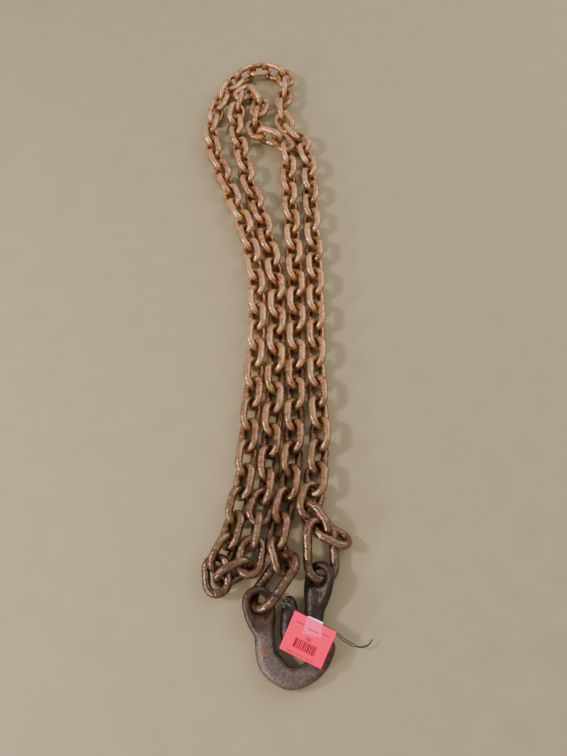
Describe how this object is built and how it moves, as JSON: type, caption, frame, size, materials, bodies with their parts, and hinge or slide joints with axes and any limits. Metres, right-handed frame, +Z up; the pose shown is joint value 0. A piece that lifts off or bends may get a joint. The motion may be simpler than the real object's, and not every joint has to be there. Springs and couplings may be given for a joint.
{
  "type": "steel chain with hooks",
  "caption": "Rusty round-link steel tow chain laid in a long narrow heap of four strands, with a slip hook and a tagged grab hook at the near end.",
  "frame": {"origin": "middle of the heap's underside, on the floor, without the tag's tie", "axes": "+Y along the strands, from the hooks to the loops; +Z up; +X to the right seen from the hooks"},
  "size_m": [0.246, 1.0778, 0.0463],
  "materials": {
    "link_steel": "brown rust all over, lighter where links rub",
    "hook_steel": "dark brown rust, worn to bare steel at the bend",
    "tag_card": "matt printed card",
    "tie_plastic": "plain black plastic"
  },
  "bodies": {
    "root": {"end_links": "link_steel", "grab_hook": "hook_steel", "inner_run_01": "link_steel", "inner_run_02": "link_steel", "inner_run_03": "link_steel", "inner_run_04": "link_steel", "inner_run_05": "link_steel", "inner_run_06": "link_steel", "inner_run_07": "link_steel", "inner_run_08": "link_steel", "inner_run_09": "link_steel", "inner_run_10": "link_steel", "inner_run_11": "link_steel", "inner_run_12": "link_steel", "inner_run_13": "link_steel", "inner_run_14": "link_steel", "inner_run_15": "link_steel", "inner_run_16": "link_steel", "inner_run_17": "link_steel", "inner_run_18": "link_steel", "inner_run_19": "link_steel", "outer_run_01": "link_steel", "outer_run_02": "link_steel", "outer_run_03": "link_steel", "outer_run_04": "link_steel", "outer_run_05": "link_steel", "outer_run_06": "link_steel", "outer_run_07": "link_steel", "outer_run_08": "link_steel", "outer_run_09": "link_steel", "outer_run_10": "link_steel", "outer_run_11": "link_steel", "outer_run_12": "link_steel", "outer_run_13": "link_steel", "outer_run_14": "link_steel", "outer_run_15": "link_steel", "outer_run_16": "link_steel", "outer_run_17": "link_steel", "outer_run_18": "link_steel", "outer_run_19": "link_steel", "outer_run_20": "link_steel", "price_tag": "tag_card", "single_link_1": "link_steel", "single_link_2": "link_steel", "single_link_3": "link_steel", "single_link_4": "link_steel", "single_link_5": "link_steel", "single_link_6": "link_steel", "single_link_7": "link_steel", "slip_coupling": "link_steel", "slip_hook": "hook_steel", "tag_tie": "tie_plastic"}
  },
  "joints": []
}
